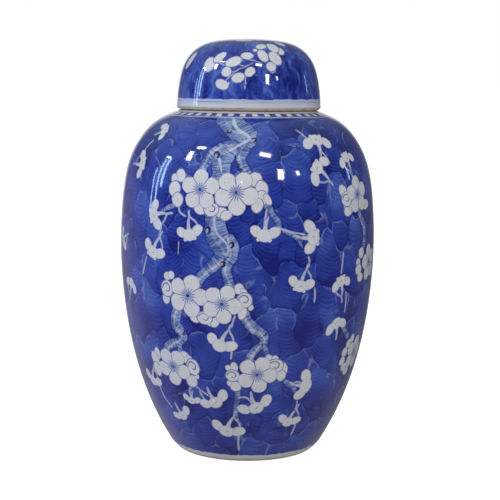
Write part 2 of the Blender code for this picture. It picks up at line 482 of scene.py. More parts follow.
# %% Bud sprays and thin twigs
def paint_sprays(hand):
    for place in ((37.2, 253.5, 180, 1.0, False), (33, 233.5, 130, 0.95), (53.5, 240, 165, 0.8),
                  (7, 184.5, 5, 0.95, False), (28.8, 182, 270, 1.05, False), (23, 146, 14, 0.9),
                  (45, 147, 165, 0.85), (44.5, 114, 165, 0.9, False), (31.5, 66, 280, 1.05, False),
                  (25, 36, 16, 0.85), (5.5, 50, 335, 1.0, False), (-16, 53.5, 330, 0.95, False),
                  (-39, 38, 330, 0.8, False), (-57, 63, 20, 0.85), (-11.5, 29, 18, 1.05),
                  (-12, 100.5, 22, 0.98), (-25, 183.5, 350, 0.9), (-44.5, 196, 75, 0.95),
                  (-44.5, 168, 25, 0.95), (-53, 259, 235, 0.75, False), (-58.5, 233, 260, 0.9),
                  (-63, 140, 200, 0.8), (-73, 172, 60, 0.8), (-30, 53, 10, 0.62, False)):
        hand.spray(*place)
    for route in (((36, 247), (39, 242), (40.5, 236)), ((27, 261), (30, 257), (31.5, 254)),
                  ((8, 204), (7.6, 199), (7, 192)), ((13.5, 189.5), (19, 186.5), (25, 184.5)),
                  ((26.5, 168), (27, 164), (26.5, 160)), ((30, 144), (30.4, 138), (30.2, 133)),
                  ((45.5, 169), (45, 160), (44.6, 153)), ((48.5, 138), (49.2, 131), (49, 122)),
                  ((28, 54), (28.3, 50), (28, 46)), ((30.8, 34), (30.6, 29), (30, 23.5)),
                  ((-4, 25), (-4.6, 18), (-4.2, 11.5)), ((-6.4, 96.5), (-6.8, 93), (-7, 90)),
                  ((-6.5, 115), (-6, 119), (-5, 124)), ((-30.4, 206), (-30.2, 200.5), (-26.8, 197)),
                  ((-39.5, 187), (-40.5, 181), (-41, 177)), ((-48.5, 163.5), (-50, 157), (-51.5, 150)),
                  ((-26.5, 67), (-23, 62.5), (-19.5, 59)), ((-27.5, 66), (-29.5, 63), (-30, 57)),
                  ((-51.5, 62), (-50.5, 52), (-46, 43.5)), ((-24, 63), (-23, 58), (-21, 54)),
                  ((-50, 71), (-53, 72), (-56, 70)), ((-57, 251), (-60, 246), (-61.5, 241)),
                  ((22.5, 69), (27, 70), (30, 67.5)), ((-4, 58.5), (0, 59), (3.5, 53.5))):
        hand.twig(*route)
    hand.twig((-30, 178), (-30.3, 168), half=0.4)


# %% [markdown]
# Where light catches the old bark, the painter left the clay white: one broken line winds down
# the trunk, and another down its lower half.

# %% Bare lines on the bark
def paint_bark_lines(hand):
    hand.twig((-9.5, 268.5), (-8, 264.5), (-5, 260.5), (-1, 257.5), (0.6, 254.5), (-2.5, 251.5),
              (-6.5, 248), (-9, 245.5), half=1.4, tip=0.9)
    hand.twig((-10, 261), (-7, 259.2), (-3, 258.2), half=0.8)
    hand.twig((-13.6, 241), (-12.6, 236), (-11.6, 230.5), half=1.1, tip=0.7)
    hand.twig((-13.9, 198), (-13.8, 190), (-12, 184), (-9.2, 179.5), (-7.8, 174), (-9, 168),
              half=0.9, tip=0.6)


def paint_tree(skin, centre, hand):
    painter = Painter(skin, centre, hand)
    paint_limbs(painter)
    paint_sprays(painter)
    paint_bark_lines(painter)
    paint_blossoms(painter)
    return painter


front_tree = paint_tree(jar_skin, 0, 1)
print(f"one side of the jar carries {front_tree.drawn} petals, buds and knots")

# %% [markdown]
# The jar's far side can't be seen from the front. A painter would fill it with the same tree
# again, so it is painted once more, centred on the back and turned the other way round. Between
# the two trees, on the left and right, a few extra sprays close the gaps.

# %% The far side, and the gaps between the trees
back_tree = paint_tree(jar_skin, 180, -1)


def fill_gap(centre, *places):
    painter = Painter(jar_skin, centre)
    for place in places:
        painter.spray(*place)
    return painter


right_gap = fill_gap(90, (-2, 236, 20, 0.9), (3, 190, 200, 0.9), (-5, 121, 20, 0.95),
                     (4, 52, 340, 0.9), (0, 30, 20, 0.8))
left_gap = fill_gap(-90, (5, 250, 20, 0.8), (4, 190, 160, 0.9), (-4, 110, 340, 0.95),
                    (0, 84, 20, 0.8), (3, 34, 20, 0.8))
jar_painters = [front_tree, back_tree, right_gap, left_gap]
print(f"the whole jar carries {sum(p.drawn for p in jar_painters)} petals, buds and knots")

# %% [markdown]
# ## The lid's painting
# The lid has two sprigs: loose petals and half-open buds on thin stems on the left, and one open
# flower seen from the side on the right. The same two sprigs are repeated on the far side.

# %% Sprigs on the lid
def paint_lid(centre, hand):
    painter = Painter(lid_skin, centre, hand)
    for place in ((-36, 309.3, 4.6, 6.6, 8), (-27.6, 314.6, 3.6, 6.2, 42), (-13.4, 311.5, 4.6, 7, 68),
                  (-2, 316, 3.7, 5.4, 92), (-18.6, 303.6, 4.2, 4.4, 0), (-8.8, 299.3, 4.1, 5.8, 72),
                  (0.6, 303.8, 3.7, 4.9, 48), (-21.8, 294.2, 4.2, 5.9, 112), (-66, 312.5, 2, 7.2, 22),
                  (-9, 328, 4.2, 7.4, 90), (42, 325.6, 2.6, 4.4, -40), (32, 320, 3.2, 4.8, -10),
                  (5.8, 320.2, 1.9, 1.8, 0), (12.8, 323.2, 3.8, 4.8, 60), (18.6, 307.9, 4.2, 4.2, 0),
                  (26.2, 322.6, 4.5, 6.8, -6), (12.6, 316.2, 4.2, 6.4, -20), (23.8, 314.4, 4.7, 7, -28)):
        painter.petal_as_seen(*place)
    for route in (((-29, 311), (-24, 309.5), (-20, 308.5)), ((-20, 296), (-16, 299.5), (-12, 303)),
                  ((-16, 304), (-12, 303.6), (-8, 306)), ((-8, 309), (-4, 308), (3, 310.5)),
                  ((3, 312.5), (7, 311.5), (11, 310)), ((-2, 302), (-3, 298), (-2.4, 294.5)),
                  ((-8, 306), (-3, 307.5), (1, 309.8)), ((-4, 313.5), (1, 312.8), (5, 312)),
                  ((28, 317), (31, 318), (36, 321)), ((17, 304.5), (20, 303), (22, 304.5))):
        painter.twig(*route, half=0.45)
    return painter


lid_painters = [paint_lid(0, 1), paint_lid(180, -1)]
side_sprigs = Painter(lid_skin, 90)
side_sprigs.spray(0, 303, 200, 0.62)
side_sprigs.spray(180, 303, 160, 0.62)
lid_painters.append(side_sprigs)
print(f"the lid carries {sum(p.drawn for p in lid_painters)} petals")

# %% [markdown]
# ## Laying the painting on the mesh
# How does a material know where a petal is? It could look everything up in a picture, but a
# picture has a fixed sharpness. Instead each face corner stores where it lies on its own motif:
# 0, 0 is the petal's middle and a distance of 1 is its edge. Inside a face those numbers change
# evenly, so the material can draw a perfectly clean edge on a fairly coarse mesh.
# Motifs that overlap go in different layers, and a later layer covers an earlier one.

# %% Sort motifs into layers and store places on them
FACE_ROOM = 3.6
EDGE_ROOM = 1.12
NOWHERE = (9.0, 9.0, 0.0)


def layered(motifs):
    """Motifs in layers, so that two in one layer never touch and the order is kept."""
    layers = []
    for motif in motifs:
        lowest = 0
        for depth, layer in enumerate(layers):
            for other in layer:
                room = EDGE_ROOM * (motif["reach"] + other["reach"]) + FACE_ROOM
                if np.linalg.norm(motif["spot"] - other["spot"]) < room:
                    lowest = depth + 1
        if lowest == len(layers):
            layers.append([])
        layers[lowest].append(motif)
    return layers


def lay_discs(piece, name, motifs):
    """Stores the places on these motifs, and returns the names of the layers used."""
    layers = layered(motifs)
    for depth, layer in enumerate(layers):
        places = np.tile(NOWHERE, (len(piece.corners), 1))
        for motif in layer:
            away = np.linalg.norm(piece.middles - motif["spot"], axis=1)
            faces = piece.outside & (away < EDGE_ROOM * motif["reach"] + FACE_ROOM / 2)
            held = faces[piece.corner_face]
            offset = piece.corners[held] - motif["spot"]
            places[held, 0] = offset @ motif["across"]
            places[held, 1] = offset @ motif["along"]
            places[held, 2] = motif["code"]
        piece.keep_places(f"{name}_{depth}", places)
    return [f"{name}_{depth}" for depth in range(len(layers))]


# %% [markdown]
# A limb or a twig needs other numbers: how far along it a corner lies, how far to its side, and
# how wide it is there. Past its tip the width shrinks, so that the stroke ends in a point.

# %% Store places along limbs and twigs
ROUTE_ROOM = 2.6
SEARCH_ROOM = 4
OFF_ROUTE = (0.0, 9.0, 0.0)


def along_route(points, route):
    """For each point: the distance along, the distance to the side, and the half width."""
    spots, halves = route[:, :3], route[:, 3]
    run = np.concatenate([[0.0], np.cumsum(np.linalg.norm(np.diff(spots, axis=0), axis=1))])
    best = np.full(len(points), np.inf)
    found = np.zeros((len(points), 3))
    for k in range(len(spots) - 1):
        step = spots[k + 1] - spots[k]
        length = np.linalg.norm(step)
        step = step / length
        offset = points - spots[k]
        forward = offset @ step
        held = np.clip(forward, 0, length)
        away = offset - held[:, None] * step
        distance = np.linalg.norm(away, axis=1)
        over = np.abs(forward - held)
        if 0 < k:
            over = np.where(forward < 0, 0, over)
        if k < len(spots) - 2:
            over = np.where(forward > length, 0, over)
        side = np.sign(away @ np.cross(step, [*spots[k][:2], 0.0]))
        beside = np.sqrt(np.maximum(distance**2 - over**2, 0))
        half = halves[k] + (halves[k + 1] - halves[k]) * held / length
        nearer = distance < best
        best[nearer] = distance[nearer]
        found[nearer, 0] = (run[k] + held)[nearer]
        found[nearer, 1] = (side * beside)[nearer]
        found[nearer, 2] = (half - over)[nearer]
    return best, found


def lay_routes(piece, name, routes):
    """Stores the place on the nearest limb or twig for every corner near one."""
    nearest = np.full(len(piece.middles), -1)
    least = np.full(len(piece.middles), ROUTE_ROOM)
    for k, route in enumerate(routes):
        centre = route[:, :3].mean(0)
        reach = np.linalg.norm(route[:, :3] - centre, axis=1).max()
        reach += route[:, 3].max() + SEARCH_ROOM
        away = np.linalg.norm(piece.middles - centre, axis=1)
        near = np.flatnonzero(piece.outside & (away < reach))
        if len(near):
            distance, found = along_route(piece.middles[near], route)
            gap = distance - np.maximum(found[:, 2], 0)
            closer = gap < least[near]
            least[near[closer]] = gap[closer]
            nearest[near[closer]] = k
    places = np.tile(OFF_ROUTE, (len(piece.corners), 1))
    for k, route in enumerate(routes):
        held = nearest[piece.corner_face] == k
        if held.any():
            places[held] = along_route(piece.corners[held], route)[1]
    piece.keep_places(name, places)


def gathered(painters, what):
    return [motif for painter in painters for motif in getattr(painter, what)]


def lay_painting(piece, painters):
    """Stores a whole painting on a piece, and returns the layers of each kind of motif."""
    lay_routes(piece, "twig", gathered(painters, "twigs"))
    lay_routes(piece, "limb", gathered(painters, "limbs"))
    layers = {}
    for what in ("knots", "petals", "blossoms"):
        layers[what] = lay_discs(piece, what, gathered(painters, what))
        print(f"{piece.mesh.name} has {len(layers[what])} layers of {what}")
    return layers


jar_layers = lay_painting(jar, jar_painters)
lid_layers = lay_painting(lid, lid_painters)

# %% [markdown]
# ## Writing a material as formulas
# A material made of nodes is a formula drawn as boxes. Drawing a few hundred boxes by hand hides
# what they mean, so a small helper lets each formula be written as one: a wire is one value that
# flows through the material, and adding or multiplying wires adds the matching Math node.

# %% Wires between nodes
def connect(tree, socket, value):
    if isinstance(value, Wire):
        tree.links.new(value.socket, socket)
    else:
        socket.default_value = value


class Wire:
    """One value on its way through a node tree."""

    def __init__(self, tree, socket):
        self.tree, self.socket = tree, socket

    def math(self, operation, *others):
        node = self.tree.nodes.new("ShaderNodeMath")
        node.operation = operation
        for socket, value in zip(node.inputs, (self, *others)):
            connect(self.tree, socket, value)
        return Wire(self.tree, node.outputs[0])

    def vector(self, operation, *others, result=0):
        node = self.tree.nodes.new("ShaderNodeVectorMath")
        node.operation = operation
        sockets = [node.inputs[0], node.inputs["Scale"]] if operation == "SCALE" else node.inputs
        for socket, value in zip(sockets, (self, *others)):
            connect(self.tree, socket, value)
        return Wire(self.tree, node.outputs[result])

    def parts(self):
        node = self.tree.nodes.new("ShaderNodeSeparateXYZ")
        connect(self.tree, node.inputs[0], self)
        return [Wire(self.tree, socket) for socket in node.outputs]

    def ramp(self, low, high):
        """0 below low, 1 above high, with a soft step between."""
        node = self.tree.nodes.new("ShaderNodeMapRange")
        node.interpolation_type = "SMOOTHSTEP"
        for socket, value in zip(node.inputs, (self, low, high, 0.0, 1.0)):
            connect(self.tree, socket, value)
        return Wire(self.tree, node.outputs[0])

    def length(self):
        return self.vector("LENGTH", result="Value")

    def __add__(self, other):
        return self.math("ADD", other)

    def __sub__(self, other):
        return self.math("SUBTRACT", other)

    def __rsub__(self, other):
        return (self * -1.0) + other

    def __mul__(self, other):
        return self.math("MULTIPLY", other)

    def __truediv__(self, other):
        return self.math("DIVIDE", other)

    def __abs__(self):
        return self.math("ABSOLUTE")

    __radd__, __rmul__ = __add__, __mul__


# %% [markdown]
# Noise breaks up every edge and tone, so that nothing looks drawn with a ruler. These helpers
# fetch what a material starts from: places in millimetres, stored layers, noise and mixed colours.

# %% Sources and mixers
def group(name, inputs, outputs):
    """An empty node group, the wires of its inputs and the sockets of its outputs."""
    tree = bpy.data.node_groups.new(name, "ShaderNodeTree")
    for title in inputs:
        tree.interface.new_socket(title, in_out="INPUT", socket_type="NodeSocketVector")
    for title in outputs:
        tree.interface.new_socket(title, in_out="OUTPUT", socket_type="NodeSocketFloat")
    start, end = tree.nodes.new("NodeGroupInput"), tree.nodes.new("NodeGroupOutput")
    return tree, [Wire(tree, socket) for socket in start.outputs[: len(inputs)]], end.inputs


def stamp(tree, grouped, *values):
    """Uses a node group, and returns the wires of its outputs."""
    node = tree.nodes.new("ShaderNodeGroup")
    node.node_tree = grouped
    for socket, value in zip(node.inputs, values):
        connect(tree, socket, value)
    return [Wire(tree, socket) for socket in node.outputs]


def stored(tree, name, result="Vector"):
    node = tree.nodes.new("ShaderNodeAttribute")
    node.attribute_name = name
    return Wire(tree, node.outputs[result])


def noise(tree, place, size, detail=2.0, result=0):
    """Soft noise from 0 to 1, whose lumps are about size millimetres."""
    node = tree.nodes.new("ShaderNodeTexNoise")
    connect(tree, node.inputs["Vector"], place)
    node.inputs["Scale"].default_value = 1 / size
    node.inputs["Detail"].default_value = detail
    return Wire(tree, node.outputs[result])


def carried_off(tree, place, size, detail, reach):
    """A push in any direction, of up to half of reach, that changes slowly with the place."""
    lumps = noise(tree, place, size, detail, "Color")
    return lumps.vector("SUBTRACT", (0.5, 0.5, 0.5)).vector("SCALE", reach)


def upright(tree, height):
    """A vector that points straight up and is this long."""
    node = tree.nodes.new("ShaderNodeCombineXYZ")
    connect(tree, node.inputs["Z"], height)
    return Wire(tree, node.outputs[0])


MIX_AMOUNT, MIX_FIRST, MIX_SECOND, MIX_RESULT = 0, 6, 7, 2


def mixed(tree, amount, first, second):
    """The first colour where the amount is 0, and the second where it is 1."""
    node = tree.nodes.new("ShaderNodeMix")
    node.data_type = "RGBA"
    connect(tree, node.inputs[MIX_AMOUNT], amount)
    for place, value in ((MIX_FIRST, first), (MIX_SECOND, second)):
        connect(tree, node.inputs[place], (*value, 1.0) if isinstance(value, tuple) else value)
    return Wire(tree, node.outputs[MIX_RESULT])


def band(value, low, high, soft):
    """1 between low and high, with soft edges."""
    return value.ramp(low - soft, low + soft) * (1.0 - value.ramp(high - soft, high + soft))


# %% [markdown]
# ## Petals, blossoms and knots
# A loose petal is a white oval with a thin line of blue just inside its edge. Some have a curl,
# and a bud has one small touch of the brush. The same group draws the dark moss knots on the
# limbs, because they are ovals too: a knot is a dark crescent round an off-centre hole. The group
# gives back the white, the thin ink, the solid dark, and how near the point is to the motif, which
# lets the blue pool around it.

# %% One petal
PETAL_WOBBLE = 0.22
CURL_START = 0.12
CURL_PITCH = 0.60
KNOT_HOLE = (-0.25, -0.15, 0.0)


def kind_is(kind, wanted):
    return kind.math("COMPARE", wanted, 0.1)


petal, (place, spot), outs = group("petal", ("Place", "Spot"), ("White", "Ink", "Dark", "Near"))
x, y, code = place.parts()
flat = place.vector("MULTIPLY", (1.0, 1.0, 0.0))
radius = flat.length() + (noise(petal, spot, 5.0) - 0.5) * PETAL_WOBBLE
white = 1.0 - radius.ramp(0.94, 1.02)
kind = code.math("FLOOR")
fate = code.math("FRACT")
on_a_stem = kind_is(kind, BUD) + kind_is(kind, LOBE)
rim = radius.ramp(0.81, 0.92) * (1.0 - on_a_stem * 0.7) * noise(petal, spot, 3.0).ramp(0.25, 0.45)
turn = y.math("ARCTAN2", x) * (0.5 / math.pi) + 0.5
curl_line = 1.0 - abs(radius - (turn * CURL_PITCH + CURL_START)).ramp(0.03, 0.10)
curl = curl_line * turn.ramp(0.08, 0.2) * kind_is(kind, CURLED)
touch = (1.0 - abs(y - x * 0.7 + 0.1).ramp(0.03, 0.11)) * (1.0 - abs(x - 0.1).ramp(0.12, 0.3))
touch = touch * kind_is(kind, BUD) * fate.ramp(0.25, 0.3)
connect(petal, outs["White"], white)
connect(petal, outs["Ink"], rim.math("MAXIMUM", curl).math("MAXIMUM", touch * 0.8) * white)
hole = place.vector("SUBTRACT", KNOT_HOLE).vector("MULTIPLY", (1.0, 0.8, 0.0)).length()
crescent = (1.0 - radius.ramp(0.88, 1.0)) * hole.ramp(0.28, 0.46)
connect(petal, outs["Dark"], crescent * (x * 0.8 + y + 1.1).ramp(0.1, 0.4))
connect(petal, outs["Near"], 1.0 - radius.ramp(0.95, 1.14))
print(f"a petal is a formula of {len(petal.nodes)} nodes")

# %% [markdown]
# An open blossom has five round petals. Instead of drawing five, the angle round the middle is
# folded five times, and one petal is drawn in the folded space. Thin rays of blue spread from the
# dark eye for the stamens, each with a length of its own, over a soft flush of pale blue.

# %% One open blossom
PETALS = 5
PETAL_FROM_EYE = 0.595
PETAL_SIZE = 0.40
STAMENS = 17.0

blossom, (place, spot), outs = group(
    "blossom", ("Place", "Spot"), ("White", "Ink", "Dark", "Near", "Flush")
)
x, y, _ = place.parts()
flat = place.vector("MULTIPLY", (1.0, 1.0, 0.0))
radius = flat.length()
angle = y.math("ARCTAN2", x)
sway = (noise(blossom, spot, 9.0) - 0.5) * 0.22
part = (angle + sway) * (PETALS / (2 * math.pi)) + 10.5
fold = (part.math("FRACT") - 0.5) * (2 * math.pi / PETALS)
along, across = radius * fold.math("COSINE"), radius * fold.math("SINE")
reach = ((along - PETAL_FROM_EYE).math("POWER", 2.0) + across.math("POWER", 2.0)).math("SQRT")
reach = reach + (noise(blossom, spot, 5.0) - 0.5) * 0.07
inside = 1.0 - reach.ramp(PETAL_SIZE - 0.02, PETAL_SIZE + 0.012)
white = inside.math("MAXIMUM", 1.0 - radius.ramp(0.38, 0.44))
pressed = noise(blossom, spot, 3.0).ramp(0.22, 0.42)
beside = radius * (math.pi / PETALS - abs(fold))
seam = (1.0 - beside.ramp(0.012, 0.030)) * radius.ramp(0.26, 0.40) * pressed
rim = reach.ramp(PETAL_SIZE - 0.045, PETAL_SIZE - 0.012) * radius.ramp(0.42, 0.5) * pressed
ray_noise = noise(blossom, place.vector("SCALE", 5.0), 1.0, 1.0)
thinning = radius * 4.5 - 1.1
rays = (angle * STAMENS).math("SINE").ramp(thinning, thinning + 0.5)
ray_end = ray_noise * 0.46 + 0.12
ray_reach = 1.0 - radius.ramp(ray_end, ray_end + 0.06)
stamens = rays * ray_reach
eye = 1.0 - (radius + (ray_noise - 0.5) * 0.12).ramp(0.02, 0.11)
flush = (1.0 - radius.ramp(0.04, 0.40)) * ray_noise.ramp(0.1, 0.7) * 0.8
connect(blossom, outs["White"], white)
ink = (seam * 0.95).math("MAXIMUM", rim * 0.85).math("MAXIMUM", stamens * 0.9)
connect(blossom, outs["Ink"], ink * white)
connect(blossom, outs["Flush"], flush)
connect(blossom, outs["Dark"], eye * white)
connect(blossom, outs["Near"], 1.0 - reach.ramp(PETAL_SIZE, PETAL_SIZE + 0.1))
print(f"a blossom is a formula of {len(blossom.nodes)} nodes")

# %% [markdown]
# ## Limbs and twigs
# The trunk is a pale wash with fine strokes across it, denser on its shaded side, a light ridge
# where the bark catches the light, and a broken outline. The strokes are noise that is stretched
# across the limb. A twig is only a pale stroke with soft edges.

# %% One limb
RIDGE_TURNS = 0.10
RIDGE_SWAY = 0.42

limb, (place, spot), outs = group("limb", ("Place", "Spot"), ("Cover", "Hatch", "Ridge", "Near"))
run, side, half = place.parts()
uneven = noise(limb, spot, 7.0, 3.0) - 0.5
wide = half * (1.0 + uneven * 0.5)
gap = abs(side) - wide
connect(limb, outs["Cover"], 1.0 - gap.ramp(-0.3, 0.3))
hair = place.vector("MULTIPLY", (1.0, 0.11, 0.0)).vector("ADD", spot.vector("SCALE", 0.06))
broad_hair = place.vector("MULTIPLY", (1.0, 0.2, 0.0)).vector("ADD", spot.vector("SCALE", 0.1))
lines = noise(limb, hair, 1.0, 1.0).ramp(0.46, 0.57)
shade = noise(limb, broad_hair, 5.0, 2.0).ramp(0.38, 0.64)
edge = gap.ramp(-1.0, -0.2) * noise(limb, spot, 6.0).ramp(0.38, 0.55)
shaded_side = (side / wide).ramp(-0.1, 1.0)
hatch = lines * 0.65 + shade * 0.40 + shaded_side * 0.35
connect(limb, outs["Hatch"], hatch.math("MINIMUM", 1.0).math("MAXIMUM", edge * 0.9))
ridge_at = (run * RIDGE_TURNS).math("SINE") * half * RIDGE_SWAY + uneven * 4.0
ridge_half = noise(limb, spot, 9.0).ramp(0.35, 0.7) * 1.1 + 0.35
ridge = 1.0 - (abs(side - ridge_at) - ridge_half).ramp(-0.3, 0.5)
connect(limb, outs["Ridge"], ridge * half.ramp(2.4, 3.0) * (1.0 - half.ramp(5.0, 6.5) * 0.6))
connect(limb, outs["Near"], 1.0 - gap.ramp(0.2, 1.6))
print(f"a limb is a formula of {len(limb.nodes)} nodes")

# %% [markdown]
# ## The two grounds
# Behind the tree the cobalt is brushed on in patches, like thawing ice. They could be drawn one by
# one, but there are hundreds, so Voronoi cells give them. The cells are looked up at places that
# noise has carried off, which makes their borders wander, and each cell knows its own middle.

# %% The jar's ground: patches of cracked ice
PATCH = (20.0, 20.0, 33.0)
CELL_WIDTH = 21.0

ice, (spot,), outs = group("cracked_ice", ("Spot",), ("Tone", "Crack", "Relief"))


def cells(tree, place, feature):
    node = tree.nodes.new("ShaderNodeTexVoronoi")
    node.feature = feature
    connect(tree, node.inputs["Vector"], place)
    node.inputs["Scale"].default_value = 1.0
    return node


drift = carried_off(ice, spot, 20.0, 1.0, 16.0)
shiver = carried_off(ice, spot, 4.0, 1.0, 1.6)
place = spot.vector("ADD", drift).vector("ADD", shiver).vector("DIVIDE", PATCH)
cell = cells(ice, place, "F1")
border = Wire(ice, cells(ice, place, "DISTANCE_TO_EDGE").outputs["Distance"]) * CELL_WIDTH
patch_middle = Wire(ice, cell.outputs["Position"]).vector("MULTIPLY", PATCH)
from_middle = spot.vector("SUBTRACT", patch_middle)
random_tone, random_lift, _ = Wire(ice, cell.outputs["Color"]).parts()

# %% [markdown]
# Each patch is filled with bowed strokes that lap over each other and sag towards its lower edge,
# where the colour pools. Inside a cell the height, bent into a parabola and cut into equal steps,
# gives the strokes: every step starts pale and ends in a darker, wet edge. Their arcs are measured
# from the unbent place, so they stay smooth. Thin pale cracks run where two patches don't quite
# meet, and slow clouds of noise make whole parts of the wall lighter or darker.

# %% Strokes inside a patch
STROKE_STEP = 3.3
BOW_RADIUS = 13.0
POOL_WIDTH = 1.9
CRACK_WIDTH = 1.1

below = from_middle.parts()[2]
sideways = from_middle.vector("MULTIPLY", (1.0, 1.0, 0.0)).length()
ripple = noise(ice, spot, 13.0, 2.0) - 0.5
bowed = sideways * sideways * (0.5 / BOW_RADIUS) - below + ripple * 5.0
stroke = bowed * (1 / STROKE_STEP) + random_lift * 3.0
wet = stroke.math("FRACT")
own = (stroke.math("FLOOR") * 12.9 + random_tone * 50.0).math("SINE")
wet_edge = wet.math("POWER", 2.2) * (1.0 - wet.ramp(0.84, 1.0))
brushed = noise(ice, spot, 12.0, 2.0).ramp(0.32, 0.6)
lengthwise = from_middle.vector("MULTIPLY", (0.12, 0.12, 0.0)).vector("ADD", upright(ice, bowed * 1.3))
hairs = noise(ice, lengthwise, 0.9, 2.0) - 0.5
cloud = noise(ice, spot, 27.0, 2.0) - 0.5
tone = 0.43 + (random_tone - 0.5) * 0.16 + below * 0.007 + cloud * 1.5 + own * 0.06
tone = tone - (wet_edge * 0.42 - 0.07) * brushed + hairs * 0.32
pool = (1.0 - border.ramp(0.0, POOL_WIDTH)) * (1.0 - below.ramp(-9.0, 6.0))
connect(ice, outs["Tone"], tone - pool * 0.24)
pale = (1.0 - border.ramp(0.0, CRACK_WIDTH)) * noise(ice, spot, 11.0, 3.0).ramp(0.46, 0.62)
connect(ice, outs["Crack"], pale * below.ramp(-8.0, 4.0))
connect(ice, outs["Relief"], (wet_edge * -1.0) + hairs)
print(f"the cracked ice is a formula of {len(ice.nodes)} nodes")

# %% [markdown]
# The lid's cobalt was laid on quickly while the lid turned on its side: it has no patches, only
# streaks that run up and down, with thin places where the brush was nearly dry. Noise that is
# stretched along the height gives the streaks, and bending it with other noise makes them swirl.

# %% The lid's ground: streaks
streaks, (spot,), outs = group("streaks", ("Spot",), ("Tone", "Crack", "Relief"))
place = spot.vector("ADD", carried_off(streaks, spot, 13.0, 2.0, 14.0))
flowing = place.vector("MULTIPLY", (1.0, 1.0, 0.42))
broad = noise(streaks, flowing, 10.0, 2.0) - 0.5
thin = noise(streaks, place.vector("MULTIPLY", (1.0, 1.0, 0.28)), 2.6, 3.0) - 0.5
wisp = noise(streaks, flowing, 5.0, 2.0).ramp(0.50, 0.70)
connect(streaks, outs["Tone"], 0.46 + broad * 2.0 + thin * 1.2 + wisp * 0.24)
connect(streaks, outs["Crack"], wisp * thin.ramp(0.0, 0.2) * 0.3)
connect(streaks, outs["Relief"], thin + wisp * 0.5)
print(f"the streaks are a formula of {len(streaks.nodes)} nodes")

# %% [markdown]
# ## Glaze over painting
# One blue pigment gives every tone on this jar: nearly black where it lies thick, pale where it
# was thinned to a wash. So the colours are few, and the formulas choose between them.

# %% Colours of the cobalt and the clay
COBALT_DEEP = (0.003, 0.008, 0.175)
COBALT = (0.018, 0.041, 0.33)
COBALT_THIN = (0.065, 0.125, 0.48)
WASH = (0.28, 0.36, 0.62)
BARK_SHADE = (0.020, 0.050, 0.27)
INK = (0.018, 0.048, 0.30)
EYE_BLUE = (0.16, 0.27, 0.66)
KNOT_BLACK = (0.005, 0.009, 0.09)
GLAZED_WHITE = (0.66, 0.65, 0.70)
BARE_CLAY = (0.46, 0.40, 0.31)
GRIME = (0.10, 0.085, 0.065)
print("the cobalt runs from", COBALT_DEEP, "through", COBALT, "to", COBALT_THIN)

# %% [markdown]
# The colour is built up in the order in which the painter worked: ground, limbs, twigs, knots,
# petals, then blossoms. The blue is a little darker close to a motif, because the brush was led
# carefully round it. A faint breath of blue lies over the white of the petals.

# %% Layer the painting
HALO = 0.3


def cover(tree, colour, mask, layer):
    """Lays one more layer over a colour, where the mask is 1."""
    return mixed(tree, mask, colour, layer)


def painted_surface(tree, spot, layers, ground):
    """The colour of the painting without the bands, and the relief of the brushwork."""
    tone, crack, relief = stamp(tree, ground, spot)
    drawn = {}
    for what, names in layers.items():
        motif = blossom if what == "blossoms" else petal
        drawn[what] = [stamp(tree, motif, stored(tree, name), spot) for name in names]
    limb_cover, hatch, ridge, near = stamp(tree, limb, stored(tree, "limb"), spot)
    near = near * 0.8
    for what in ("petals", "blossoms"):
        for motif in drawn[what]:
            near = near.math("MAXIMUM", motif[3])
    tone = tone - near * HALO
    colour = mixed(tree, tone.ramp(0.0, 0.48), COBALT_DEEP, COBALT)
    colour = mixed(tree, tone.ramp(0.40, 1.05), colour, COBALT_THIN)
    colour = mixed(tree, crack * 0.45, colour, WASH)
    bark = mixed(tree, hatch * 0.92, WASH, BARK_SHADE)
    bark = mixed(tree, ridge * (1.0 - hatch * 0.6) * 0.65, bark, GLAZED_WHITE)
    colour = cover(tree, colour, limb_cover, bark)
    _, side, half = stored(tree, "twig").parts()
    twig = 1.0 - (abs(side) - half).ramp(-0.4, 0.3)
    thin = noise(tree, spot, 6.0).ramp(0.25, 0.6) * 0.25 + half.ramp(0.5, 1.6) * 0.25 + 0.5
    colour = cover(tree, colour, twig * thin, mixed(tree, 0.7, WASH, GLAZED_WHITE))
    for motif in drawn["knots"]:
        colour = cover(tree, colour, motif[0] * 0.35, GLAZED_WHITE)
        colour = cover(tree, colour, motif[2] * 0.97, KNOT_BLACK)
    breath = noise(tree, spot, 8.0).ramp(0.3, 0.8) * 0.12
    petal_white = mixed(tree, breath, GLAZED_WHITE, WASH)
    for what in ("petals", "blossoms"):
        for white, ink, dark, _, *flush in drawn[what]:
            fill = mixed(tree, flush[0], petal_white, EYE_BLUE) if flush else petal_white
            fill = mixed(tree, ink * 0.9, fill, INK)
            if flush:
                fill = mixed(tree, dark * 0.85, fill, COBALT_DEEP)
            colour = cover(tree, colour, white, fill)
    return colour, relief


# %% [markdown]
# The bands differ between the two pieces. Round the jar's shoulder runs a blue line with white
# ticks, between a white ring and a hair of white; the foot is left white. The lid's rim is white
# with one faint blue line. Brush edges waver, so each limit gets a little noise. All limits are
# heights in millimetres.

# %% Bands on the jar and on the lid
TICKS = 42
WHITE_LINE = (269.35, 269.85)
TICK_ROW = (270.45, 272.2)
WHITE_RING = 272.45
WHITE_FOOT = 7.0
LID_WHITE = 283.0
LID_LINE = (280.4, 281.2)


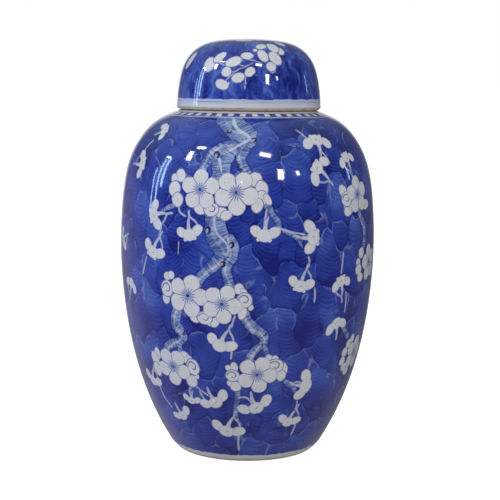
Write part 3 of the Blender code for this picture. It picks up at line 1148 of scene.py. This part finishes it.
def jar_bands(tree, spot, colour):
    x, y, z = spot.parts()
    waver = noise(tree, spot, 10.0, 3.0) - 0.5
    height = z + waver * 0.35
    side = x.math("ARCTAN2", y * -1.0) * (TICKS / (2 * math.pi)) + 200.0
    tick_noise = noise(tree, spot, 3.0) - 0.5
    tick = band((side + tick_noise * 0.16).math("FRACT"), 0.30, 0.74, 0.06)
    tick = tick * band(z + tick_noise * 0.5, *TICK_ROW, 0.16)
    blue = mixed(tree, noise(tree, spot, 7.0).ramp(0.3, 0.7), COBALT_DEEP, COBALT)
    colour = cover(tree, colour, band(height, *WHITE_LINE, 0.1) * 0.75, GLAZED_WHITE)
    line_end = WHITE_LINE[1]
    colour = cover(tree, colour, height.ramp(line_end - 0.1, line_end + 0.1), blue)
    colour = cover(tree, colour, tick, GLAZED_WHITE)
    colour = cover(tree, colour, height.ramp(WHITE_RING - 0.15, WHITE_RING + 0.15), GLAZED_WHITE)
    foot_height = z + waver * 4.0 + (noise(tree, spot, 3.0) - 0.5) * 1.2
    foot = 1.0 - foot_height.ramp(WHITE_FOOT - 0.4, WHITE_FOOT + 0.4)
    return cover(tree, colour, foot, GLAZED_WHITE)


def lid_bands(tree, spot, colour):
    z = spot.parts()[2]
    waver = (noise(tree, spot, 7.0, 3.0) - 0.5) * 2.6
    blue_end = 1.0 - (z + waver).ramp(LID_WHITE - 0.4, LID_WHITE + 0.4)
    tint = z.ramp(276.0, LID_WHITE) * 0.45 + 0.12
    colour = cover(tree, colour, blue_end, mixed(tree, tint, GLAZED_WHITE, WASH))
    line = band(z + waver * 0.3, *LID_LINE, 0.35) * noise(tree, spot, 26.0).ramp(0.35, 0.6)
    return cover(tree, colour, line * 0.55, INK)


# %% [markdown]
# Now the surface itself. Where there is glaze, the roughness is low and changes a little from
# place to place; where the clay is bare, it is matt and slightly gritty. The bump has a slow
# wave from the glaze's flow, tiny pinholes, and sand-like grain on the clay only.

# %% The fired surface
GLAZE_ROUGHNESS = 0.05
CLAY_ROUGHNESS = 0.62
COAT_WEIGHT = 0.35
COAT_ROUGHNESS = 0.04
GLASS_IOR = 1.5
BUMP_STRENGTH = 0.8
JAR_BARE = (-3.0, 2.6)
LID_BARE = (SEAT - 4.0, SEAT + 2.2)


def fired(name, layers, bands, ground, bare_limits):
    material = bpy.data.materials.new(name)
    material.use_nodes = True
    tree = material.node_tree
    shader = tree.nodes["Principled BSDF"]
    coordinates = tree.nodes.new("ShaderNodeTexCoord")
    spot = Wire(tree, coordinates.outputs["Object"]).vector("SCALE", 1 / MM)
    outside = stored(tree, "outside", "Fac").ramp(0.5, 0.9)
    painting, relief = painted_surface(tree, spot, layers, ground)
    painted = bands(tree, spot, painting)
    lining = mixed(tree, noise(tree, spot, 20.0).ramp(0.3, 0.7) * 0.2, GLAZED_WHITE, WASH)
    colour = cover(tree, lining, outside, painted)
    speck = noise(tree, spot, 1.5, 1.0).ramp(0.72, 0.75) * noise(tree, spot, 17.0).ramp(0.45, 0.6)
    colour = cover(tree, colour, speck * 0.7, KNOT_BLACK)
    height = spot.parts()[2]
    wander = (noise(tree, spot, 8.0, 3.0) - 0.5) * 1.4
    rim = band(height + wander, *bare_limits, 0.35) * outside
    bare = stored(tree, "bare", "Fac").ramp(0.3, 0.8).math("MAXIMUM", rim)
    dirt = noise(tree, spot, 5.0, 4.0).ramp(0.45, 0.75) * 0.5
    clay = mixed(tree, dirt, BARE_CLAY, GRIME)
    colour = cover(tree, colour, bare, clay)
    tree.links.new(colour.socket, shader.inputs["Base Color"])
    gloss = noise(tree, spot, 24.0).ramp(0.3, 0.75) * 0.04 + GLAZE_ROUGHNESS
    roughness = gloss + bare * CLAY_ROUGHNESS
    tree.links.new(roughness.socket, shader.inputs["Roughness"])
    shader.inputs["IOR"].default_value = GLASS_IOR
    shader.inputs["Coat Weight"].default_value = COAT_WEIGHT
    shader.inputs["Coat Roughness"].default_value = COAT_ROUGHNESS
    wave = noise(tree, spot, 13.0, 1.0) * 0.09 + noise(tree, spot, 4.0, 1.0) * 0.012
    pinhole = noise(tree, spot, 1.1, 0.0).ramp(0.78, 0.84) * -0.05
    grain = noise(tree, spot, 0.7, 3.0) * bare * 0.22
    bump = tree.nodes.new("ShaderNodeBump")
    bump.inputs["Distance"].default_value = MM
    bump.inputs["Strength"].default_value = BUMP_STRENGTH
    brushwork = relief * outside * (1.0 - bare) * 0.006
    tree.links.new((wave + pinhole + grain + brushwork).socket, bump.inputs["Height"])
    tree.links.new(bump.outputs["Normal"], shader.inputs["Normal"])
    return material


jar_glaze = fired("jar_glaze", jar_layers, jar_bands, ice, JAR_BARE)
lid_glaze = fired("lid_glaze", lid_layers, lid_bands, streaks, LID_BARE)
print(f"the jar's glaze has {len(jar_glaze.node_tree.nodes)} nodes")

# %% [markdown]
# ## The two pieces
# Each turned mesh becomes one piece that stands for its CAD node. The jar rides on the body
# called jar, and the lid on the body called cover, so that lifting the cover lifts the lid.

# %% Put the pieces together
for turned, node, body, slot, glaze in (
    (jar, "jar_body", "jar", "jar_glaze", jar_glaze),
    (lid, "lid", "cover", "lid_glaze", lid_glaze),
):
    piece = bpy.data.objects.new(turned.mesh.name, turned.mesh)
    bpy.context.scene.collection.objects.link(piece)
    turned.mesh.materials.append(glaze)
    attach(piece, body)
    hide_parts(node)
    print(f"{piece.name} stands for {node} and rides on {body}")

# %% [markdown]
# ## The studio
# A white floor sets the jar off. If it also lit the jar from below and showed in the glaze, the
# blue would look milky, so the floor is hidden from the light that bounces. It glows a little by
# itself, which keeps it evenly pale right up to the foot.

# %% Floor
FLOOR_HALF = 40.0
PAPER_WHITE = (0.86, 0.86, 0.86, 1.0)
PAPER_GLOW = 0.82
PAPER_ROUGHNESS = 0.9

floor_mesh = bpy.data.meshes.new("floor")
corners = [(x * FLOOR_HALF, y * FLOOR_HALF, 0) for x, y in ((-1, -1), (1, -1), (1, 1), (-1, 1))]
floor_mesh.from_pydata(corners, [], [(0, 1, 2, 3)])
floor = bpy.data.objects.new("floor", floor_mesh)
bpy.context.scene.collection.objects.link(floor)
floor.visible_diffuse = False
floor.visible_glossy = False
paper = bpy.data.materials.new("floor_paper")
paper.use_nodes = True
paper_shader = paper.node_tree.nodes["Principled BSDF"]
paper_shader.inputs["Base Color"].default_value = PAPER_WHITE
paper_shader.inputs["Roughness"].default_value = PAPER_ROUGHNESS
paper_shader.inputs["Specular IOR Level"].default_value = 0.0
paper_shader.inputs["Emission Color"].default_value = (1.0, 1.0, 1.0, 1.0)
paper_shader.inputs["Emission Strength"].default_value = PAPER_GLOW
floor_mesh.materials.append(paper)
print(f"the floor is {2 * FLOOR_HALF:.0f} m wide")

# %% [markdown]
# Glaze is a mirror, so what stands round the jar matters as much as the lamps. The surround is
# dim at eye height, which keeps the blue deep, and brighter above, most of all at the upper left,
# where it lights the shoulder. It is a little brighter below, pale at the lower left, and bright
# right behind the jar, which gives the thin light rim at its sides. A ray that goes straight from
# the camera sees a plain white backdrop instead.

# %% Surround and backdrop
ABOVE = (0.40, 0.49, 0.45)
MIDDLE = (0.12, 0.125, 0.14)
BELOW = (0.28, 0.272, 0.265)
BEHIND = (0.85, 0.85, 0.88)
LEFT_WALL = (0.40, 0.39, 0.50)

world = bpy.data.worlds.new("studio")
world.use_nodes = True
bpy.context.scene.world = world
sky = world.node_tree
surround = sky.nodes["Background"]
direction = Wire(sky, sky.nodes.new("ShaderNodeTexCoord").outputs["Generated"])
rightward, onward, rise = direction.parts()
low_half = mixed(sky, rise.ramp(-0.6, -0.1), BELOW, MIDDLE)
upper_left = rise * (1.0 - rightward * 0.5)
surround_colour = mixed(sky, upper_left.ramp(0.1, 0.95), low_half, ABOVE)
left_wall = (rightward * -0.74 + onward * 0.53 - rise * 0.42).ramp(0.74, 1.0)
surround_colour = mixed(sky, left_wall, surround_colour, LEFT_WALL)
surround_colour = mixed(sky, (onward - rightward * 0.05).ramp(0.90, 1.0), surround_colour, BEHIND)
connect(sky, surround.inputs["Color"], surround_colour)
backdrop = sky.nodes.new("ShaderNodeBackground")
backdrop.inputs["Color"].default_value = (1.0, 1.0, 1.0, 1.0)
seen = sky.nodes.new("ShaderNodeLightPath")
choose = sky.nodes.new("ShaderNodeMixShader")
for source, target in (
    (seen.outputs["Is Camera Ray"], choose.inputs[0]),
    (surround.outputs[0], choose.inputs[1]),
    (backdrop.outputs[0], choose.inputs[2]),
    (choose.outputs[0], sky.nodes["World Output"].inputs["Surface"]),
):
    sky.links.new(source, target)
print("the surround's colours:", ABOVE, MIDDLE, BELOW, BEHIND, LEFT_WALL)

# %% [markdown]
# Sparks tell the eye that glaze is wet-looking glass. Each is the reflection of one small bright
# lamp, so the lamps are placed by the direction in which the glaze has to look to see them:
# degrees to the right of straight ahead, and degrees up. Three tall blue-white slits far to the
# left, with a faint glow round them, are a window with a curtain; one more is far to the right.

# %% Lamps
LAMP_DISTANCE = 2.0
LAMP_AIM = Vector((0.0, 0.0, 0.235))
WARM_WHITE = (1.0, 0.99, 0.96)
CURTAIN_BLUE = (0.45, 0.68, 1.0)


def lamp(name, side, up, width, height, brightness, tilt=0.0, colour=WARM_WHITE):
    """A rectangular lamp that faces the jar. Width and height are in metres, tilt in degrees."""
    light = bpy.data.lights.new(name, "AREA")
    light.shape = "RECTANGLE"
    light.size, light.size_y, light.color = width, height, colour
    light.energy = brightness * math.pi * width * height
    side, up = math.radians(side), math.radians(up)
    away = Vector((math.sin(side) * math.cos(up), -math.cos(side) * math.cos(up), math.sin(up)))
    holder = bpy.data.objects.new(name, light)
    facing = (-away).to_track_quat("-Z", "Y").to_matrix().to_4x4()
    turned = Matrix.Rotation(math.radians(tilt), 4, "Z")
    holder.matrix_world = Matrix.Translation(LAMP_AIM + away * LAMP_DISTANCE) @ facing @ turned
    bpy.context.scene.collection.objects.link(holder)
    return holder


lamp("ceiling_right", 31, 24, 0.17, 0.34, 26, tilt=-8)
lamp("ceiling_right_far", 48, 23, 0.09, 0.14, 22)
lamp("ceiling_front", 20, 47, 0.30, 0.18, 26, tilt=-24)
lamp("ceiling_small", -6.5, 17.8, 0.05, 0.05, 14)
lamp("ceiling_small_left", -33.5, 19.3, 0.06, 0.04, 14)
lamp("ceiling_left", -66, 37, 0.15, 0.34, 26, tilt=12)
lamp("ceiling_left_high", -61, 48.5, 0.26, 0.10, 26, tilt=16)
lamp("ceiling_left_far", -89, 28.5, 0.18, 0.05, 22, tilt=13)
lamp("window_fold_1", -85, 18, 0.08, 0.75, 15, colour=CURTAIN_BLUE)
lamp("window_fold_2", -90, 14, 0.06, 0.85, 14, colour=CURTAIN_BLUE)
lamp("window_fold_3", -95.5, 8, 0.04, 0.60, 12, colour=CURTAIN_BLUE)
lamp("window_right", 107, 13, 0.05, 0.34, 8, colour=CURTAIN_BLUE)
lamp("window_glow", -86, 17, 0.60, 0.60, 0.35, colour=CURTAIN_BLUE)
lamps = [o for o in bpy.data.objects if o.type == "LIGHT"]
print(f"{len(lamps)} lamps make sparks")

# %% [markdown]
# Four large soft lamps, in front, on both sides and behind, even out the light all round. They
# light the jar but are kept out of its reflections, where they would lie as grey sheets over the
# blue. The left one is a little blue, as daylight is.

# %% Soft lamps
SOFT_WHITE = (1.0, 1.0, 1.0)
SOFT_BLUE = (0.80, 0.90, 1.15)
soft_lamps = [
    lamp("soft_front", -8, 0, 2.4, 2.0, 1.2, colour=SOFT_WHITE),
    lamp("soft_left", -78, 6, 1.6, 1.6, 1.05, colour=SOFT_BLUE),
    lamp("soft_right", 75, 6, 1.6, 1.6, 0.85, colour=SOFT_WHITE),
    lamp("soft_back", 172, 3, 2.4, 2.0, 0.9, colour=SOFT_WHITE),
]
for soft_lamp in soft_lamps:
    soft_lamp.visible_glossy = False
print(f"{len(soft_lamps)} soft lamps light the jar without showing in its glaze")

# %% [markdown]
# ## The camera
# It stands about a metre away and a little above the lid's top, looking slightly down, with a
# long lens so that the jar keeps its proportions. It is turned by half a degree in its mount.

# %% Camera
CAMERA_PLACE = Vector((0.0, -1087.0, 302.0)) * MM
CAMERA_AIM = Vector((2.2, 0.0, 160.6)) * MM
CAMERA_ROLL = 0.6
FOCAL_LENGTH = 97.3

camera_data = bpy.data.cameras.new("camera")
camera_data.lens = FOCAL_LENGTH
camera = bpy.data.objects.new("camera", camera_data)
looking = (CAMERA_AIM - CAMERA_PLACE).to_track_quat("-Z", "Y").to_matrix().to_4x4()
roll = Matrix.Rotation(math.radians(CAMERA_ROLL), 4, "Z")
camera.matrix_world = Matrix.Translation(CAMERA_PLACE) @ looking @ roll
bpy.context.scene.collection.objects.link(camera)
bpy.context.scene.camera = camera
bpy.context.scene.view_settings.view_transform = "Standard"
print(f"the camera stands {(CAMERA_PLACE - CAMERA_AIM).length:.2f} m away")
